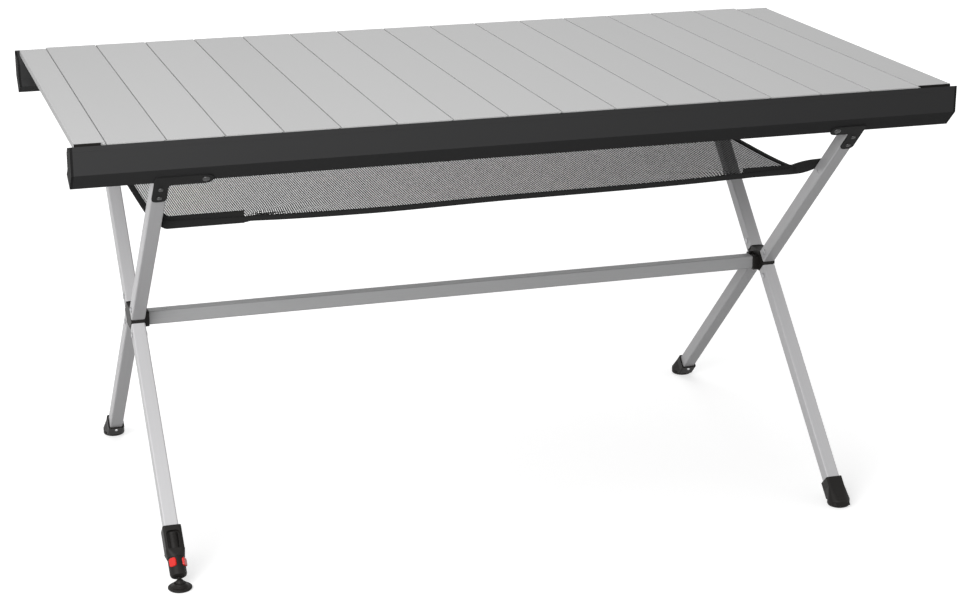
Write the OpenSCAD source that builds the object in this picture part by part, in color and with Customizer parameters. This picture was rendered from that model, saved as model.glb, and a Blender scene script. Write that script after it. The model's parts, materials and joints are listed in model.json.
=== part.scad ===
// Camp kitchen table: a roll-up slatted aluminium top on two rails, carried by
// two folding X frames of square tube, with a hub at each crossing, a stretcher
// bar between the hubs, a net shelf and one adjustable foot.
// Frame: X along the table, the front is -Y, Z up, ground at Z = 0. Millimetres.

/* [Table] */
// Length over the rail end caps
length = 1500; // [1400:10:1600]
// Depth from front edge to back edge
depth = 780; // [720:2:820]
// Height of the table top above the ground
height = 760; // [740:2:800]

/* [Roll-up top] */
// Number of full slats between the two narrow end slats
full_slats = 15; // [15:1:15]
// Width of the narrow slat at the left end
left_end_width = 45.7; // [40:0.1:60]
// Width of the narrow slat at the right end
right_end_width = 64; // [45:0.1:70]
// Thickness of the slats
slat_t = 10; // [8:0.5:12]
// Thickness of the top skin that laps over the rail lip
skin_t = 1.8; // [1.6:0.1:2.6]
// Radius of the knuckle along each slat's right edge
knuckle_r = 3; // [2.6:0.1:3.4]
// Radius of the bead that turns inside the knuckle
bead_r = 2; // [1.6:0.1:2.2]

/* [Frames] */
// Width over the flats of the square leg tube
tube = 24; // [22:0.5:26]
// Wall of the leg tube
tube_wall = 1.6; // [1.2:0.1:2.5]
// Corner radius of the leg tube
tube_r = 2.5; // [1.5:0.1:3.5]
// Centre of the left frame, measured to the left of the middle
left_frame = 609; // [560:1:640]
// Centre of the right frame, measured to the right of the middle
right_frame = 579; // [560:1:620]
// Distance of the bracket rivets from the middle
rivet_x = 540; // [500:1:545]
// Thickness of the bracket plates
plate_t = 2.5; // [2:0.1:4]

/* [Rails] */
// Height of the outer face of the rail above its chamfer
rail_face = 47.5; // [44:0.5:50]
// Wall of the rail extrusion
rail_wall = 1.8; // [1.6:0.1:3]
// Thickness of the rail end caps
cap_t = 4; // [3:0.5:6]

/* [Feet] */
// Diameter of the round foot bases
foot_d = 40; // [36:1:44]
// Wall of the boot around the leg tube
boot_wall = 3; // [2.5:0.1:4]
// How far the adjustable foot can be let out
foot_travel = 30; // [0:1:30]

/* [Stretcher and net] */
// How far below the hub centre the stretcher sits
stretcher_drop = 4.5; // [2:0.5:6]
// Height of the net shelf below the table top
net_drop = 170; // [165:1:180]

/* [Hidden] */

// Clearances: between moving bodies, round a running pin, between fitted pieces
gap = 0.35;
run = 0.05;
fit = 0.1;

// Leg geometry. Every bar leans at 45 degrees. A bar is drawn along +Z of its
// own frame, which starts at the hub centre, with its outer face at y = -tube.
half_depth = depth / 2;
hub_z = height - half_depth - rail_face + tube * sqrt(2);
bar_start = 28.6;
pivot_s = 44.8;
pivot_y = (pivot_s + tube / 2) / sqrt(2);
pivot_z = (pivot_s - tube / 2) / sqrt(2);
tube_in = tube - 2 * tube_wall;

// Rail section, seen along the rail: inward from the outer face, then height
// measured from the table top. The slats' ends are bevelled over lap + bevel.
lap = 3.6;
bevel = 7;
keel_a = 27;
keel_z = -rail_face - keel_a;
lip_z = -skin_t - gap;
lip_w = 3;
lip_slope = (slat_t - skin_t) / (lap + bevel);
ledge_z = -slat_t - 0.3;
bulge_a = 57;
bulge_z = -58;
tongue = 1.2;
rail_web = [[33, ledge_z], [0, ledge_z], [0, -rail_face], [keel_a, keel_z],
            [bulge_a, bulge_z], [43, -46], [43, -21]];
lip_strip = [[0, ledge_z + fit], [(lip_w - tongue) / 2, ledge_z + fit],
             [(lip_w - tongue) / 2, ledge_z - tongue],
             [(lip_w + tongue) / 2, ledge_z - tongue],
             [(lip_w + tongue) / 2, ledge_z + fit], [lip_w, ledge_z + fit],
             [lip_w, lip_z - lip_w * lip_slope], [0, lip_z]];
rail_outer = [[33, ledge_z], [lip_w, ledge_z],
              [lip_w, lip_z - lip_w * lip_slope], [0, lip_z],
              [0, -rail_face], [keel_a, keel_z], [bulge_a, bulge_z],
              [43, -46], [43, -21]];

// Slope of the rail underside in bar coordinates, used to mitre the upper legs
keel_s = ((half_depth - keel_a) + (height + keel_z - hub_z)) / sqrt(2);
bulge_s = ((half_depth - bulge_a) + (height + bulge_z - hub_z)) / sqrt(2);
bulge_d = ((half_depth - bulge_a) - (height + bulge_z - hub_z)) / sqrt(2);
mitre = (keel_s - bulge_s) / (tube - bulge_d);

// Slats
end_gap = 7.8;
first_hinge = -length / 2 + end_gap + left_end_width;
last_hinge = length / 2 - end_gap - right_end_width;
slat_pitch = (last_hinge - first_hinge) / full_slats;
end_slat_in = 10.6;
knuckle_gap = knuckle_r + gap;
knuckle_root = -5;
slat_wall = 1;
plug_t = 1.4;
plug_depth = 10;

// Feet. A foot stands where its leg's middle line comes down to leg_aim.
leg_aim = 3.91;
foot_y = hub_z - leg_aim + tube / sqrt(2);
foot_edge = foot_y + foot_d / 2 + 0.5;
boot_base = 5;
boot = tube + 2 * (boot_wall + fit);
boot_top = (hub_z - 27) * sqrt(2);
leg_end = (hub_z - 10) * sqrt(2);
foot_screw_s = boot_top + 7;

// Adjustable foot, in the coordinates of the front left lower bar
house_top = (hub_z - 76) * sqrt(2) + tube / 2;
house_neck = (hub_z - 45) * sqrt(2) + tube / 2;
house_end = (hub_z - 14.5) * sqrt(2) + tube / 2;
house_w = 31;
house_d = 33.5;
window_d = 4.6;
tube_stop = house_neck - 16;
button_s = (hub_z - 30.5) * sqrt(2) + tube / 2;
button_turns = [-34, 60];
button_w = 12.4;
button_h = 15;
barrel_d = 15.5;
barrel_r = 14.2;
plunger_r = 7.5;
ball_r = 7.5;
ball_z = 9.5;
ball_y = -((hub_z - ball_z) * sqrt(2) + 2 * barrel_d) / sqrt(2);
ball_s = (hub_z - ball_z) * sqrt(2) + barrel_d;

// Bracket: how far its parts lie below the table top, then the same places in
// the coordinates of an upper bar
arm_top_drop = 62;
arm_bottom_drop = 79;
screw_high_drop = 87;
screw_low_drop = 105;
lug_drop = 114;
lug_s = (height - lug_drop - hub_z) * sqrt(2) + tube;
arm_top_s = (height - arm_top_drop - hub_z) * sqrt(2) + tube;
arm_bottom_s = (height - arm_bottom_drop - hub_z) * sqrt(2) + tube;
rivet_s = keel_s + 6.5;
screw_high_s = (height - screw_high_drop - hub_z) * sqrt(2) + tube;
screw_low_s = (height - screw_low_drop - hub_z) * sqrt(2) + tube;

// Stretcher and its end hooks
stretcher_z = hub_z - stretcher_drop;
boss_t = 10;
stretcher_left = -left_frame + tube / 2 + boss_t + gap;
stretcher_right = right_frame - tube / 2 - boss_t - gap;

// Net
net_z = height - net_drop;
strap_w = 27;
strap_t = 1.2;
strap_reach = 42;
patch_reach = 138;
hem_h = 8;
side_hem = 12;
net_left = -left_frame + tube / 2 + 2;
net_right = right_frame - tube / 2 - 2;
net_y = 241;
net_back_y = net_z - hub_z - 2;
stud_r = 6.5;
stud_pin = 2;
strap_s = (net_z + 8 - hub_z) * sqrt(2);
slot_s = strap_s - 4;

// ---------------------------------------------------------------- helpers

// Corner i of polygon p moved inward by w, for a counter-clockwise outline
function edge(p, i) = p[(i + 1) % len(p)] - p[i % len(p)];
function unit(v) = v / norm(v);
function left_of(v) = [-v[1], v[0]];
function inset_point(p, i, w) =
  let (e0 = unit(edge(p, i + len(p) - 1)))
  let (e1 = unit(edge(p, i)))
  let (n0 = left_of(e0))
  let (n1 = left_of(e1))
  let (k = 1 + n0 * n1)
  p[i] + (n0 + n1) * (w / k);
function inset(p, w) = [for (i = [0 : len(p) - 1]) inset_point(p, i, w)];

// Pull a YZ outline out along X, from x0 to x1
module prism_x(x0, x1) {
  translate([x0, 0, 0])
    rotate([90, 0, 90])
      linear_extrude(x1 - x0)
        children();
}

// Pull an XZ outline out along Y, over a length centred on the middle
module prism_y(w) {
  translate([0, w / 2, 0])
    rotate([90, 0, 0])
      linear_extrude(w)
        children();
}

// Square with rounded corners, centred
module soft_square(w, r) {
  square([w - 2 * r, w], center = true);
  square([w, w - 2 * r], center = true);
  for (sx = [-1, 1])
    for (sy = [-1, 1])
      translate([sx * (w / 2 - r), sy * (w / 2 - r)])
        circle(r, $fn = 24);
}

// Flat outline with rounded corners, centred
module soft_rect(w, h, r) {
  square([w - 2 * r, h], center = true);
  square([w, h - 2 * r], center = true);
  for (sx = [-1, 1])
    for (sy = [-1, 1])
      translate([sx * (w / 2 - r), sy * (h / 2 - r)])
        circle(r, $fn = 24);
}

// Put children into the frame of one half-leg of the X
module upper_front(x) {
  translate([x, 0, hub_z])
    rotate([45, 0, 0])
      children();
}
module upper_rear(x) {
  translate([x, 0, hub_z])
    mirror([0, 1, 0])
      rotate([45, 0, 0])
        children();
}
module lower_front(x) {
  translate([x, 0, hub_z])
    mirror([0, 0, 1])
      rotate([45, 0, 0])
        children();
}
module lower_rear(x) {
  translate([x, 0, hub_z])
    mirror([0, 1, 0])
      mirror([0, 0, 1])
        rotate([45, 0, 0])
          children();
}

// Round bar along X of the bar frame, at height s, depth d below the inner face
module cross_pin(r, s, d, x0, x1) {
  translate([x0, -d, s])
    rotate([0, 90, 0])
      cylinder(h = x1 - x0, r = r, $fn = 32);
}

// ------------------------------------------------------------------ slats

// Hooked arm that joins the bead to the slat it belongs to
module bead_2d() {
  translate([0, -knuckle_r]) {
    circle(bead_r, $fn = 24);
    polygon([[-0.48, -0.28], [1.17, -3.13], [knuckle_gap + 0.6, -4.3],
             [knuckle_gap + 0.6, -2.9], [2.13, -2.58], [0.48, 0.28]]);
  }
}

// Round edge with the hollow the next slat's bead turns in
module knuckle_2d() {
  difference() {
    union() {
      translate([0, -knuckle_r])
        circle(knuckle_r, $fn = 32);
      translate([-6, -5.2])
        square([4.6, 5.2]);
      translate([-6, -knuckle_r])
        square([6, knuckle_r]);
    }
    translate([0, -knuckle_r])
      circle(bead_r + run, $fn = 24);
    translate([0, -knuckle_r])
      polygon([[0, 0], [0, -6], [5, -5], [6, 0], [5.8, 1.45]]);
  }
}

// Hollow box of one slat between x0 and x1
module slat_box_2d(x0, x1) {
  difference() {
    translate([x0, -slat_t])
      square([x1 - x0, slat_t]);
    slat_cells_2d(x0, x1, 0);
    translate([x0, 0])
      rotate(-135)
        square([2, 0.8], center = true);
  }
}

// The three hollows of a slat between x0 and x1, each smaller all round by inset
module slat_cells_2d(x0, x1, inset) {
  cell = (x1 - x0 - 4 * slat_wall) / 3;
  for (i = [0 : 2])
    translate([x0 + slat_wall + i * (cell + slat_wall) + inset,
               -slat_t + slat_wall + inset])
      square([cell - 2 * inset, slat_t - skin_t - slat_wall - 2 * inset]);
}

// Only the skin of the slat, as far along as the knuckle
module above_lip_2d(x0, x1) {
  intersection() {
    children();
    translate([x0 - 1, -skin_t])
      square([x1 - x0 + 9, skin_t + 1]);
  }
}

// Wedges that bevel both ends of a slat under its skin, so that it lies over
// the rail lip and lifts past it
module end_cuts(x0, x1) {
  for (side = [-1, 1])
    scale([1, side, 1])
      prism_x(x0 - 9, x1 + 9)
        polygon([[half_depth, -skin_t],
                 [half_depth - lap - bevel, -slat_t],
                 [half_depth - lap - bevel, -slat_t - 1],
                 [half_depth + 1, -slat_t - 1],
                 [half_depth + 1, -skin_t]]);
}

// A full slat. Its bead hinge is at x = 0, its knuckle at x = slat_pitch.
module full_slat() {
  color([0.76, 0.77, 0.78]) {
    prism_y(depth)
      above_lip_2d(knuckle_gap, slat_pitch) {
        union() {
          slat_box_2d(knuckle_gap, slat_pitch + knuckle_root);
          translate([slat_pitch, 0])
            knuckle_2d();
        }
      }
    difference() {
      prism_y(depth - 2 * lap) {
        slat_box_2d(knuckle_gap, slat_pitch + knuckle_root);
        translate([slat_pitch, 0])
          knuckle_2d();
        bead_2d();
      }
      end_cuts(0, slat_pitch);
    }
  }
}

module place_slat(i) {
  translate([first_hinge + (i - 2) * slat_pitch, 0, height])
    full_slat();
}

// The left end slat has a plain left edge, the right end slat a plain right one
module left_end_slat() {
  color([0.76, 0.77, 0.78])
    translate([first_hinge, 0, height])
      prism_y(depth - 2 * end_slat_in) {
        slat_box_2d(-left_end_width, knuckle_root);
        knuckle_2d();
      }
}
module right_end_slat() {
  color([0.76, 0.77, 0.78])
    translate([last_hinge, 0, height])
      prism_y(depth - 2 * end_slat_in) {
        slat_box_2d(knuckle_gap, right_end_width);
        bead_2d();
      }
}

// Black plugs that close both ends of an end slat: a plate on three tongues
module slat_plugs(x0, x1) {
  slat_end = depth / 2 - end_slat_in;
  color([0.08, 0.08, 0.08])
    for (side = [-1, 1])
      scale([1, side, 1]) {
        translate([x0, slat_end, -slat_t])
          cube([x1 - x0, plug_t, slat_t - 0.2]);
        translate([0, slat_end - plug_depth / 2 + plug_t / 2, 0])
          prism_y(plug_depth + plug_t)
            slat_cells_2d(x0, x1, fit);
      }
}
module left_end_slat_plugs() {
  translate([first_hinge, 0, height])
    slat_plugs(-left_end_width, knuckle_root);
}
module right_end_slat_plugs() {
  translate([last_hinge, 0, height])
    slat_plugs(knuckle_gap, right_end_width);
}

// ------------------------------------------------------------------ rails

// Rail along X with its outer face at y = -half_depth. The lip that the slats'
// skins lap over is a strip of its own, whose tongue sits in a groove.
module rail_bar() {
  x_end = length / 2 - cap_t;
  groove = tongue + 2 * fit;
  difference() {
    translate([0, -half_depth, height])
      prism_x(-x_end, x_end)
        difference() {
          polygon(rail_web);
          polygon(inset(rail_web, rail_wall));
          translate([(lip_w - groove) / 2, ledge_z - groove + fit])
            square([groove, 2 * groove]);
        }
    for (x = [-rivet_x, rivet_x])
      upper_front(x)
        rivet_hole();
  }
  translate([0, -half_depth, height])
    prism_x(-x_end, x_end)
      polygon(lip_strip);
}

// Bracket rivet hole, square to the plate
module rivet_hole() {
  translate([0, -tube - 5, rivet_s])
    rotate([-90, 0, 0])
      cylinder(h = 12, r = 3 + run, $fn = 32);
}

// Plastic caps that close both ends of a rail, plugged in up to the end slats
module rail_caps() {
  x_end = length / 2;
  plug_end = x_end - end_gap + gap;
  for (side = [-1, 1])
    scale([side, 1, 1])
      translate([0, -half_depth, height]) {
        prism_x(x_end - cap_t, x_end)
          polygon(rail_outer);
        prism_x(plug_end, x_end - cap_t)
          difference() {
            polygon(inset(rail_web, rail_wall + fit));
            polygon(inset(rail_web, rail_wall + 3));
          }
      }
}

module front_rail() {
  color([0.25, 0.26, 0.27])
    rail_bar();
}
module rear_rail() {
  color([0.25, 0.26, 0.27])
    mirror([0, 1, 0])
      rail_bar();
}
module front_rail_end_caps() {
  color([0.12, 0.12, 0.12])
    rail_caps();
}
module rear_rail_end_caps() {
  color([0.12, 0.12, 0.12])
    mirror([0, 1, 0])
      rail_caps();
}

// ------------------------------------------------------------------- legs

// Square tube from the hub end to s_end, open at both ends
module leg_tube(s_end) {
  translate([0, -tube / 2, bar_start])
    linear_extrude(s_end - bar_start)
      difference() {
        soft_square(tube, tube_r);
        soft_square(tube_in, tube_r - tube_wall);
      }
}

module hub_pin_hole() {
  cross_pin(3 + run, pivot_s, tube / 2, -tube, tube);
}

// inward = 1 where the middle of the table lies towards +X, otherwise -1
module upper_leg(inward) {
  color([0.72, 0.73, 0.74])
    difference() {
      leg_tube(keel_s + 4);
      hub_pin_hole();
      prism_x(-tube, tube)
        polygon([[-tube - 6, keel_s - 0.3 + 6 * mitre], [-tube - 6, keel_s + 20],
                 [4, keel_s + 20], [4, keel_s - 0.3 - (tube + 4) * mitre]]);
      for (s = [screw_low_s, screw_high_s])
        translate([0, -tube - 1, s])
          rotate([-90, 0, 0])
            cylinder(h = 6, r = 2 + run, $fn = 24);
      translate([0, 1, strap_s])
        rotate([90, 0, 0])
          cylinder(h = 4, r = stud_pin + run, $fn = 24);
      translate([inward * tube / 2 - 3, -tube / 2, slot_s])
        rotate([0, 90, 0])
          linear_extrude(6)
            soft_rect(2.8, 9, 1.2);
    }
}

module lower_leg(s_end) {
  color([0.72, 0.73, 0.74])
    difference() {
      leg_tube(s_end);
      hub_pin_hole();
    }
}

// Lower leg with the hole for the screw of a fixed foot
module fixed_lower_leg() {
  difference() {
    lower_leg(leg_end);
    translate([0, 1, foot_screw_s])
      rotate([90, 0, 0])
        cylinder(h = 6, r = 1.5 + run, $fn = 24);
  }
}

module front_left_upper_leg() { upper_front(-left_frame) upper_leg(1); }
module front_right_upper_leg() { upper_front(right_frame) upper_leg(-1); }
module rear_left_upper_leg() { upper_rear(-left_frame) upper_leg(1); }
module rear_right_upper_leg() { upper_rear(right_frame) upper_leg(-1); }
module front_left_lower_leg() { lower_front(-left_frame) lower_leg(tube_stop); }
module front_right_lower_leg() { lower_front(right_frame) fixed_lower_leg(); }
module rear_left_lower_leg() { lower_rear(-left_frame) fixed_lower_leg(); }
module rear_right_lower_leg() { lower_rear(right_frame) fixed_lower_leg(); }

// ------------------------------------------------------------------- hubs

// Middle of the hub: a block hollowed by the sweep of the four tube ends
module hub_block_2d() {
  sweep = norm([pivot_s - bar_start, tube / 2]) + gap + 0.15;
  difference() {
    translate([-36.5, -19])
      square([73, 38]);
    for (sy = [-1, 1])
      for (sz = [-1, 1])
        translate([sy * pivot_y, sz * pivot_z])
          circle(sweep, $fn = 48);
  }
}

// One tongue: an eye on the pivot and a neck back to the block
module tongue_2d() {
  circle(9, $fn = 32);
  rotate(-67.5)
    translate([0, -3])
      square([24, 6]);
}

// side = 1 puts the stretcher socket on the +X face, -1 on the -X face
module hub(x, side) {
  tongue_w = tube_in - 2 * 0.3;
  color([0.13, 0.13, 0.14])
    translate([x, 0, hub_z])
      difference() {
        union() {
          prism_x(-tube / 2, tube / 2)
            hub_block_2d();
          for (sy = [0, 1])
            for (sz = [0, 1])
              scale([1, 1 - 2 * sy, 1 - 2 * sz])
                prism_x(-tongue_w / 2, tongue_w / 2)
                  translate([-pivot_y, pivot_z])
                    tongue_2d();
          scale([side, 1, 1])
            hub_socket();
        }
        for (sy = [-1, 1])
          for (sz = [-1, 1])
            translate([-tube, sy * pivot_y, sz * pivot_z])
              rotate([0, 90, 0])
                cylinder(h = 2 * tube, r = 3 + run, $fn = 32);
      }
}

// Upright channel that the stretcher's end hook drops into
module hub_socket() {
  difference() {
    prism_x(tube / 2 - 1, tube / 2 + boss_t)
      translate([0, -4])
        soft_rect(36, 28, 4);
    translate([tube / 2 + 2, -10.3, -stretcher_drop - 9.3])
      cube([4.6, 20.6, 40]);
    translate([tube / 2 + 5, -5.3, -stretcher_drop - 9.3])
      cube([10, 10.6, 40]);
  }
}

module left_hub() { hub(-left_frame, 1); }
module right_hub() { hub(right_frame, -1); }

// Four rivets, each with a low head on both sides of the tube
module hub_rivets(x) {
  color([0.55, 0.56, 0.57])
    translate([x, 0, hub_z])
      for (sy = [-1, 1])
        for (sz = [-1, 1])
          translate([0, sy * pivot_y, sz * pivot_z])
            rotate([0, 90, 0])
              rotate_extrude($fn = 32)
                polygon([[0, -tube / 2 - 1.9], [3.6, -tube / 2 - 1.9],
                         [5.2, -tube / 2 - 1.1], [5.2, -tube / 2 - 0.3],
                         [3, -tube / 2 - 0.3], [3, tube / 2 + 0.3],
                         [5.2, tube / 2 + 0.3], [5.2, tube / 2 + 1.1],
                         [3.6, tube / 2 + 1.9], [0, tube / 2 + 1.9]]);
}
module left_hub_pivots() { hub_rivets(-left_frame); }
module right_hub_pivots() { hub_rivets(right_frame); }

// -------------------------------------------------------------- stretcher

module stretcher_bar() {
  color([0.72, 0.73, 0.74])
    translate([0, 0, stretcher_z])
      difference() {
        prism_x(stretcher_left, stretcher_right)
          difference() {
            soft_square(tube, tube_r);
            soft_square(tube_in, tube_r - tube_wall);
          }
        translate([stretcher_left + 26, -1.5, tube / 2 - 3])
          cube([9, 3, 6]);
      }
}

// Plug in the tube end, neck through the channel mouth and a wide tab inside
module end_hook() {
  translate([-16, -tube_in / 2 + fit, -tube_in / 2 + fit])
    cube([16, tube_in - 2 * fit, tube_in - 2 * fit]);
  translate([-1, -5, -9])
    cube([boss_t - 2.4, 10, 18]);
  translate([boss_t - 6.3 + gap, -10, -9])
    cube([3.9, 20, 18]);
}
module stretcher_end_hooks() {
  color([0.80, 0.80, 0.81]) {
    translate([stretcher_right, 0, stretcher_z])
      end_hook();
    translate([stretcher_left, 0, stretcher_z])
      scale([-1, 1, 1])
        end_hook();
  }
}

// --------------------------------------------------------------- brackets

// L-shaped plate; reach is the distance from the leg centre to the rail rivet
module bracket(reach) {
  mid_s = (arm_top_s + arm_bottom_s) / 2;
  arm_h = arm_top_s - arm_bottom_s;
  toward = reach > 0 ? 1 : -1;
  far = abs(reach);
  corner = 5;
  lug_r = 9;
  color([0.16, 0.16, 0.17])
    difference() {
      translate([0, -tube, 0])
        rotate([90, 0, 0])
          linear_extrude(plate_t)
            scale([toward, 1]) {
              translate([-tube / 2 + corner, arm_bottom_s])
                square([far + tube / 2 - corner, arm_h]);
              translate([far, mid_s])
                circle(arm_h / 2, $fn = 32);
              translate([-tube / 2 + corner, arm_top_s - corner])
                circle(corner, $fn = 24);
              translate([-tube / 2, lug_s + lug_r])
                square([tube, arm_top_s - corner - lug_s - lug_r]);
              translate([-tube / 2 + lug_r, lug_s])
                square([tube - 2 * lug_r, 2 * lug_r]);
              for (sx = [-1, 1])
                translate([sx * (tube / 2 - lug_r), lug_s + lug_r])
                  circle(lug_r, $fn = 32);
              translate([tube / 2 - 1, arm_bottom_s - 5])
                difference() {
                  square([6, 6]);
                  translate([6, 0])
                    circle(5, $fn = 24);
                }
            }
      translate([reach, 0, 0])
        rivet_hole();
      for (s = [screw_low_s, screw_high_s])
        translate([0, -tube - plate_t - 1, s])
          rotate([-90, 0, 0])
            cylinder(h = 6, r = 2 + run, $fn = 24);
    }
}

module front_left_bracket() {
  upper_front(-left_frame)
    bracket(left_frame - rivet_x);
}
module front_right_bracket() {
  upper_front(right_frame)
    bracket(rivet_x - right_frame);
}
module rear_left_bracket() {
  upper_rear(-left_frame)
    bracket(left_frame - rivet_x);
}
module rear_right_bracket() {
  upper_rear(right_frame)
    bracket(rivet_x - right_frame);
}

// Pan-head screw lying along +Y, head at y = 0 and outward
module screw(r, head_r, head_t, reach) {
  rotate([-90, 0, 0])
    rotate_extrude($fn = 32)
      polygon([[0, -head_t], [head_r * 0.55, -head_t], [head_r * 0.9, -head_t * 0.6],
               [head_r, 0], [r, 0], [r, reach], [0, reach]]);
}

module bracket_screws() {
  for (s = [screw_low_s, screw_high_s])
    translate([0, -tube - plate_t, s])
      screw(2, 4.2, 2.2, 7);
}
module bracket_rivet() {
  translate([0, -tube - plate_t, rivet_s])
    screw(3, 6, 2, 6);
}

module front_bracket_screws() {
  color([0.35, 0.35, 0.36]) {
    upper_front(-left_frame)
      bracket_screws();
    upper_front(right_frame)
      bracket_screws();
  }
}
module rear_bracket_screws() {
  color([0.35, 0.35, 0.36]) {
    upper_rear(-left_frame)
      bracket_screws();
    upper_rear(right_frame)
      bracket_screws();
  }
}
module front_bracket_rivets() {
  color([0.45, 0.46, 0.47])
    for (x = [-rivet_x, rivet_x])
      upper_front(x)
        bracket_rivet();
}
module rear_bracket_rivets() {
  color([0.45, 0.46, 0.47])
    for (x = [-rivet_x, rivet_x])
      upper_rear(x)
        bracket_rivet();
}

// ------------------------------------------------------------- fixed feet

// Drawn upright at the hub's x, with the front bar's own pocket cut out
module foot_block() {
  difference() {
    union() {
      intersection() {
        lower_front(0)
          translate([0, -tube / 2, boot_top])
            linear_extrude(2.5 * tube)
              soft_square(boot, 3);
        translate([-boot, -foot_edge, boot_base])
          cube([2 * boot, 5 * foot_d, 5 * foot_d]);
      }
      hull() {
        lower_front(0)
          translate([0, -tube / 2, boot_top + 16])
            linear_extrude(2)
              soft_square(boot - 0.2, 3);
        translate([0, -foot_y, 9])
          cylinder(h = 4, r = foot_d / 2 - 0.4, $fn = 32);
      }
      translate([0, -foot_y, 0])
        rotate_extrude($fn = 48)
          polygon([[0, 0], [foot_d / 2 - 3, 0], [foot_d / 2 - 1, 1], [foot_d / 2, 3],
                   [foot_d / 2, 12], [foot_d / 2 - 1, 14], [foot_d / 2 - 4, 15],
                   [0, 15]]);
    }
    lower_front(0) {
      translate([0, -tube / 2, boot_top - 5])
        linear_extrude(leg_end - boot_top + 5 + 0.3)
          soft_square(tube + 2 * fit, tube_r);
      translate([0, boot_wall + fit + 1, foot_screw_s])
        rotate([90, 0, 0])
          cylinder(h = 8, r = 1.5 + run, $fn = 24);
    }
  }
}
module foot_screw() {
  translate([0, boot_wall + fit, foot_screw_s])
    mirror([0, 1, 0])
      screw(1.5, 3.2, 1.8, 8);
}

module front_right_foot() {
  color([0.13, 0.12, 0.12])
    translate([right_frame, 0, 0])
      foot_block();
}
module rear_left_foot() {
  color([0.13, 0.12, 0.12])
    translate([-left_frame, 0, 0])
      mirror([0, 1, 0])
        foot_block();
}
module rear_right_foot() {
  color([0.13, 0.12, 0.12])
    translate([right_frame, 0, 0])
      mirror([0, 1, 0])
        foot_block();
}
module front_right_foot_screw() {
  color([0.45, 0.46, 0.47])
    lower_front(right_frame)
      foot_screw();
}
module rear_left_foot_screw() {
  color([0.45, 0.46, 0.47])
    lower_rear(-left_frame)
      foot_screw();
}
module rear_right_foot_screw() {
  color([0.45, 0.46, 0.47])
    lower_rear(right_frame)
      foot_screw();
}

// -------------------------------------------------------- adjustable foot

// Housing on the tube end: a block with a window in front, a collar and a barrel
module foot_housing() {
  color([0.13, 0.12, 0.12])
    lower_front(-left_frame)
      difference() {
        union() {
          house_block();
          translate([0, -barrel_d, house_neck])
            house_barrel(house_end - house_neck);
        }
        translate([0, -tube / 2, house_top - 1])
          linear_extrude(tube_stop - house_top + 1 + 0.3)
            soft_square(tube + 2 * fit, tube_r);
        translate([0, -barrel_d, tube_stop + 2])
          cylinder(h = 80, r = plunger_r + run, $fn = 32);
        for (turn = button_turns)
          at_button(turn, 8.2)
            linear_extrude(10)
              soft_rect(button_w + 0.6, button_h + 0.6, 4);
      }
}

// Block around the tube. The ribbed core shows in its front window, and below
// the window the block narrows to the barrel.
module house_block() {
  front_y = -tube / 2 + house_w / 2 - house_d;
  window_top = house_top + 9;
  window_h = house_neck - window_top;
  core_r = 9;
  difference() {
    translate([0, front_y + house_d / 2, house_top])
      linear_extrude(house_neck - house_top)
        soft_rect(house_w, house_d, 4);
    translate([0, front_y + window_d, window_top + window_h / 2])
      rotate([90, 0, 0])
        linear_extrude(2 * window_d)
          soft_rect(23, window_h, 7);
  }
  translate([0, front_y + 0.6 + core_r, window_top + 3]) {
    cylinder(h = window_h - 3, r = core_r, $fn = 32);
    for (i = [0 : 3])
      translate([0, 0, 3 + 4 * i])
        cylinder(h = 1.6, r = core_r + 0.5, $fn = 32);
  }
  hull() {
    translate([0, front_y + house_d / 2, house_neck - 3])
      linear_extrude(1)
        soft_rect(house_w + 1.4, house_d + 1, 6);
    translate([0, -barrel_d, house_neck + 9])
      cylinder(h = 2, r = barrel_r + 0.8, $fn = 32);
  }
}

// Round barrel of length h with a rounded lower end
module house_barrel(h) {
  rotate_extrude($fn = 48)
    polygon([[0, 0], [barrel_r, 0], [barrel_r, h - 5], [barrel_r - 1.4, h - 1.6],
             [barrel_r - 4.4, h], [0, h]]);
}

// Plunger: a round rod in the barrel, a thin neck and a ball
module foot_plunger() {
  rod_end = ball_s - tube_stop - 4;
  color([0.16, 0.15, 0.15])
    lower_front(-left_frame)
      translate([0, -barrel_d, ball_s])
        mirror([0, 0, 1])
          rotate_extrude($fn = 32)
            polygon(concat(
              [for (a = [-90 : 5 : 60]) [ball_r * cos(a), ball_r * sin(a)]],
              [[3.2, 7.2], [3.2, 9.2], [6.4, 10.4], [plunger_r, 11.4],
               [plunger_r, rod_end], [0, rod_end]]));
}

// Round pad with a low dome that holds the ball
module foot_pad() {
  socket_r = ball_r + run;
  lip = 0.9;
  color([0.13, 0.12, 0.12])
    translate([-left_frame, ball_y, 0])
      rotate_extrude($fn = 48)
        polygon(concat(
          [[0, 0], [foot_d / 2 - 1.5, 0], [foot_d / 2, 1.5], [foot_d / 2, 3.2],
           [foot_d / 2 - 1.5, 4.6], [14, 5.4], [10.8, 7.6], [10, ball_z + lip],
           [socket_r * cos(asin(lip / socket_r)), ball_z + lip]],
          [for (a = [0 : -5 : -90]) [socket_r * cos(a), ball_z + socket_r * sin(a)]]));
}

// Put children at a button seat, with z outward and d from the barrel's axis
module at_button(turn, d) {
  translate([0, -barrel_d, button_s])
    rotate([0, 0, turn])
      translate([0, -d, 0])
        rotate([90, 0, 0])
          children();
}

// Red push button, turned about the barrel from the front towards the right
module foot_button(turn) {
  color([0.80, 0.08, 0.06])
    lower_front(-left_frame)
      at_button(turn, 11) {
        linear_extrude(4.2)
          soft_rect(button_w, button_h, 3.7);
        translate([0, 0, 4.2])
          linear_extrude(0.7)
            soft_rect(button_w - 1.6, button_h - 1.6, 2.9);
      }
}
module foot_button_left() { foot_button(button_turns[0]); }
module foot_button_right() { foot_button(button_turns[1]); }

// -------------------------------------------------------------- net shelf

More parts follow.
